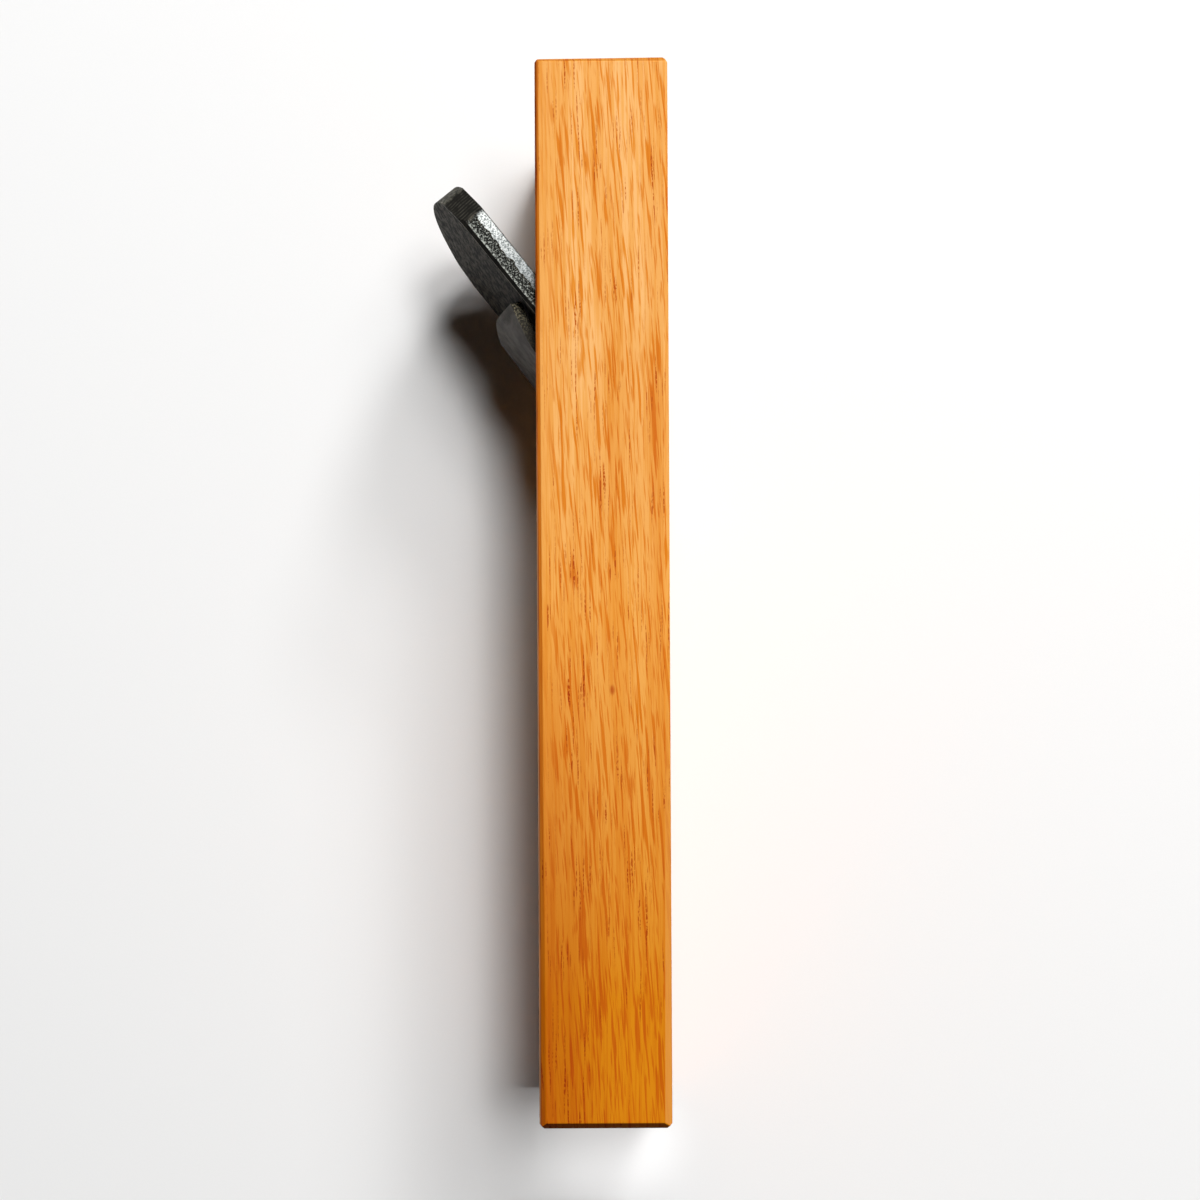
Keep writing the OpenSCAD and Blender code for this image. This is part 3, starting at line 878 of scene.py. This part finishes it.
# %% Iron
EDGE_HALF = 29.4
TONGUE_S = 4.0
SHOULDER = 9.0
IRON_CHAMFER = 0.9
BEVEL_BACK_S = EDGE_S + IRON_THICKNESS / BEVEL_SLOPE


def iron_half_width(s):
    share = min(max((s - TONGUE_S) / SHOULDER, 0.0), 1.0)
    return EDGE_HALF + share * (IRON_WIDTH / 2 - EDGE_HALF)


def iron_top(x):
    if abs(x) <= HEAD_HALF:
        return HEAD_S - HEAD_RADIUS + math.sqrt(HEAD_RADIUS ** 2 - x * x)
    return CORNER_S + CORNER_LENGTH * (IRON_WIDTH / 2 - abs(x)) / CORNER_WIDTH


def smooth_step(value, start, end):
    share = min(max((value - start) / (end - start), 0.0), 1.0)
    return share * share * (3 - 2 * share)


def hollow_depth(x, u):
    up = max(0.0, u - (HOLLOW_FOOT + HOLLOW_LENGTH - HOLLOW_HALF))
    far = (x * x + up * up) / HOLLOW_HALF ** 2
    return HOLLOW_DEPTH * max(0.0, 1 - far) * smooth_step(u, HOLLOW_FOOT, HOLLOW_FOOT + 7)


def spread(start, end, count):
    return [start + (end - start) * i / count for i in range(count + 1)]


def iron_plate():
    half = IRON_WIDTH / 2
    flat = half - IRON_CHAMFER
    columns = [-half] + spread(-flat, -HEAD_HALF, 4) + spread(-HEAD_HALF, HEAD_HALF, 46)[1:]
    columns += spread(HEAD_HALF, flat, 4)[1:] + [half]
    low = (spread(EDGE_S, BEVEL_BACK_S, 9) + spread(BEVEL_BACK_S, TONGUE_S + SHOULDER, 7)[1:]
           + spread(TONGUE_S + SHOULDER, 58, 32)[1:])
    front, back = [], []
    for step in low + spread(0, 1, 24)[1:]:
        front.append([])
        back.append([])
        for column in columns:
            s = step if len(front) <= len(low) else 58 + step * (iron_top(column) - 58)
            x = column * iron_half_width(s) / half
            t = front_t(s) - max(0.0, abs(x) - flat) - hollow_depth(x, s - EDGE_S)
            bevel = EDGE_T - (s - EDGE_S) * BEVEL_SLOPE - 0.02
            front[-1].append(bed_point(x, s, t))
            back[-1].append(bed_point(x, s, max(BED_GAP, bevel)))
    return plate(front, back)


def at_iron_edge(point):
    return (Vector(point) / MM - BED_FOOT).dot(Vector(UP_BED)) < EDGE_S + 0.4


iron_shape = iron_plate()
rounded = round_edges(iron_shape, 0.3, at_iron_edge)
wedged_iron = hammered(iron_shape, "wedged_iron", steel_of_iron, 0.1, 7.0, 3.0)
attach(wedged_iron, "iron")
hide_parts("plane_iron")
print("iron:", rounded, "edges rounded")

# %% [markdown]
# ## The chip breaker
# This thinner plate rises slowly from its toe, and its two upper corners are bent back until they
# bear on the iron. A bend keeps the length of the sheet, so each point beyond the fold line is
# carried round an arc, and the back is set off along the turned normal. That is what leans the
# ends of the ears, which catch the light.

# %% Chip breaker measures
BREAKER_HALF = 29.5
BREAKER_THICKNESS = 3.0
BREAKER_SETBACK = 0.5
BREAKER_GAP = 0.1
TOE_U = BREAKER_SETBACK + 8.0
TOE_HEIGHT = 4.0
LIFT = math.radians(3.3)
BREAKER_HEAD_RADIUS = 200.0
EAR_WIDTH = 12.0
EAR_LENGTH = 13.5
PLATE_Y = (BREAKER_SETBACK + 67.0 - TOE_U) / math.cos(LIFT)
ARCH_RISE = BREAKER_HEAD_RADIUS - math.sqrt(BREAKER_HEAD_RADIUS ** 2 - BREAKER_HALF ** 2)
FOLD_LOW = (BREAKER_HALF, PLATE_Y - ARCH_RISE - EAR_LENGTH)
FOLD_OUT = (EAR_LENGTH / math.hypot(EAR_WIDTH, EAR_LENGTH),
            EAR_WIDTH / math.hypot(EAR_WIDTH, EAR_LENGTH))
EAR_REACH = EAR_WIDTH * EAR_LENGTH / math.hypot(EAR_WIDTH, EAR_LENGTH)
EAR_HEIGHT = TOE_HEIGHT + (PLATE_Y - ARCH_RISE) * math.sin(LIFT) - BREAKER_GAP
EAR_BEND = (math.asin(EAR_HEIGHT / math.hypot(EAR_REACH, BREAKER_THICKNESS))
            - math.atan(BREAKER_THICKNESS / EAR_REACH))
BEND_RADIUS = 14.0
EAR_SWELL = 0.6
BEND_HALF = BEND_RADIUS * EAR_BEND / 2


def breaker_point(x, y, z):
    """From the plate's own measures, y up from the top of its bevel, to the frame."""
    return face_point(x, TOE_U + y * math.cos(LIFT) - z * math.sin(LIFT),
                      TOE_HEIGHT + y * math.sin(LIFT) + z * math.cos(LIFT))


def bent(x, y):
    """A point of the sheet's front, its normal and the thickness there, after the bend."""
    side = 1 if x >= 0 else -1
    out = (abs(x) - FOLD_LOW[0]) * FOLD_OUT[0] + (y - FOLD_LOW[1]) * FOLD_OUT[1]
    arc = min(max(out + BEND_HALF, 0.0), 2 * BEND_HALF)
    turn = arc / BEND_RADIUS
    beyond = max(out - BEND_HALF, 0.0)
    if turn == 0:
        return (x, y, 0.0), (0.0, 0.0, 1.0), BREAKER_THICKNESS
    now = -BEND_HALF + BEND_RADIUS * math.sin(turn) + beyond * math.cos(turn)
    drop = BEND_RADIUS * (1 - math.cos(turn)) + beyond * math.sin(turn)
    shift = now - out
    normal = (side * math.sin(turn) * FOLD_OUT[0], math.sin(turn) * FOLD_OUT[1], math.cos(turn))
    swell = EAR_SWELL * beyond / EAR_REACH
    place = (side * (abs(x) + shift * FOLD_OUT[0]), y + shift * FOLD_OUT[1], -drop)
    place = tuple(part + swell * share for part, share in zip(place, normal))
    return place, normal, BREAKER_THICKNESS + swell


print("ears bent", round(math.degrees(EAR_BEND), 1), "degrees")

# %% [markdown]
# The chip breaker's steel is smoother and a little lighter than the iron's: thin grey scale with
# fine draw-filed lines, and bright where the toe is ground. Its sides are partly worn bright and
# partly a painted sheen, which fades into painted shade towards the block, and painted shade
# darkens the face towards the block.

# %% Chip breaker steel
def breaker_steel():
    made, tree, shader = new_material("breaker_steel")
    mm = place_in_mm(tree)
    x, s, t = bed_measures(tree, mm)
    patchy = cloud(tree, mm, (4, 4, 6), 3, 0.55)
    fine = cloud(tree, mm, (0.5, 0.5, 0.5), 3, 0.7)
    filed = cloud(tree, together(tree, x, s, t), (0.35, 12, 0.35), 2)
    colour = blend(tree, ease(tree, patchy, 0.35, 0.65), tone(66, 61, 56), tone(84, 78, 70))
    colour = blend(tree, ease(tree, filed, 0.48, 0.66, 0, 0.25), colour, tone(96, 90, 82))
    colour = blend(tree, ease(tree, fine, 0.58, 0.76, 0, 0.3), colour, tone(48, 44, 40))
    # Painted shade: the face darkens towards the block, in the pocket that the light hardly reaches.
    shade_near_block = ease(tree, s, HEAD_S - 34, HEAD_S - 62)
    colour = blend(tree, shade_near_block, colour, DEEP_SHADE_TINT, "MULTIPLY")
    facing = tree.nodes.new("ShaderNodeTexCoord").outputs["Normal"]
    sideways = maths(tree, "ABSOLUTE", measure(tree, facing, (0, 0, 1)))
    colour = blend(tree, ease(tree, sideways, 0.42, 0.6), colour, tone(34, 31, 27))
    # The sides are partly worn bright and partly a painted sheen; the sheen fades into painted shade
    # towards the block.
    painted_gleam = ease(tree, s, HEAD_S - 52, HEAD_S - 38, 0.12, 1.0)
    rim_wear_and_sheen = blend(tree, times(tree, ease(tree, fine, 0.46, 0.62), painted_gleam), tone(36, 34, 29),
                 tone(150, 142, 116))
    colour = blend(tree, ease(tree, sideways, 0.84, 0.92), colour, rim_wear_and_sheen)
    toe = ease(tree, maths(tree, "SUBTRACT", s, EDGE_S), TOE_U + 0.2, TOE_U - 0.2)
    colour = blend(tree, toe, colour, blend(tree, ease(tree, filed, 0.35, 0.65),
                                            tone(150, 151, 150), tone(196, 197, 195)))
    put(tree, shader.inputs["Base Color"], colour)
    put(tree, shader.inputs["Metallic"], ease(tree, toe, 0, 1, 0.25, 0.9))
    put(tree, shader.inputs["Specular IOR Level"], ease(tree, toe, 0, 1, 0.2, 0.5))
    rough = ease(tree, patchy, 0.3, 0.7, 0.66, 0.5)
    put(tree, shader.inputs["Roughness"], maths(tree, "SUBTRACT", rough, times(tree, toe, 0.18)))
    relief(tree, shader, maths(tree, "ADD", times(tree, filed, 0.6), times(tree, patchy, 0.4)),
           0.05)
    return made


steel_of_breaker = breaker_steel()
print("chip breaker steel ready")

# %% Chip breaker
def breaker_plate():
    land = BREAKER_SETBACK + 1.5
    keen_u, keen_f = BREAKER_SETBACK + 0.8 / math.tan(math.radians(50)), BREAKER_GAP + 0.8
    back_u = TOE_U + BREAKER_THICKNESS * math.sin(LIFT)
    back_f = TOE_HEIGHT - BREAKER_THICKNESS * math.cos(LIFT)
    columns = spread(-BREAKER_HALF, BREAKER_HALF, 84)
    front, back = [], []
    for u in [BREAKER_SETBACK, keen_u, land] + spread(land, TOE_U, 8)[1:-1]:
        if u <= keen_u:
            f = BREAKER_GAP + 0.02 + (u - BREAKER_SETBACK) * math.tan(math.radians(50))
        else:
            f = keen_f + (u - keen_u) * (TOE_HEIGHT - keen_f) / (TOE_U - keen_u)
        under = BREAKER_GAP + max(0.0, u - land) * (back_f - BREAKER_GAP) / (back_u - land)
        front.append([face_point(x, u, f) for x in columns])
        back.append([face_point(x, u, under) for x in columns])
    for step in spread(0, 1, 76):
        front.append([])
        back.append([])
        for x in columns:
            arch = (BREAKER_HEAD_RADIUS
                    - math.sqrt(BREAKER_HEAD_RADIUS ** 2 - x * x))
            place, normal, thickness = bent(x, step * (PLATE_Y - arch))
            under = [p - thickness * n for p, n in zip(place, normal)]
            least_z = ((BREAKER_GAP - TOE_HEIGHT - under[1] * math.sin(LIFT)) / math.cos(LIFT))
            under[2] = max(under[2], least_z)
            front[-1].append(breaker_point(*place))
            back[-1].append(breaker_point(*under))
    return plate(front, back)


def at_breaker_edge(point):
    return (Vector(point) / MM - face_point(0, 0, 0)).dot(Vector(UP_BED)) < BREAKER_SETBACK + 0.9


breaker_shape = breaker_plate()
rounded = round_edges(breaker_shape, 0.32, at_breaker_edge)
chip_iron = hammered(breaker_shape, "chip_iron", steel_of_breaker, 0.06, 6.0, 8.0)
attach(chip_iron, "breaker")
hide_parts("chip_breaker")
print("chip breaker:", rounded, "edges rounded")

# %% [markdown]
# ## The pin
# The pin is a plain steel rod, and its solid already has the right shape, so it only gets its
# finish: drawn bright steel with fine lines along it and a few brown specks of rust.

# %% Pin
def pin_steel():
    made, tree, shader = new_material("pin_steel")
    mm = place_in_mm(tree)
    drawn = cloud(tree, mm, (0.15, 0.15, 14), 2)
    specks = cloud(tree, mm, (0.8, 0.8, 1.4), 4, 0.7)
    colour = blend(tree, ease(tree, drawn, 0.35, 0.65), tone(176, 175, 171), tone(208, 207, 203))
    colour = blend(tree, ease(tree, specks, 0.62, 0.72, 0, 0.5), colour, tone(120, 92, 66))
    put(tree, shader.inputs["Base Color"], colour)
    shader.inputs["Metallic"].default_value = 0.95
    put(tree, shader.inputs["Roughness"], ease(tree, specks, 0.4, 0.7, 0.28, 0.5))
    relief(tree, shader, drawn, 0.02)
    return made


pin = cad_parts["cross_pin"]
pin.data.materials.clear()
pin.data.materials.append(pin_steel())
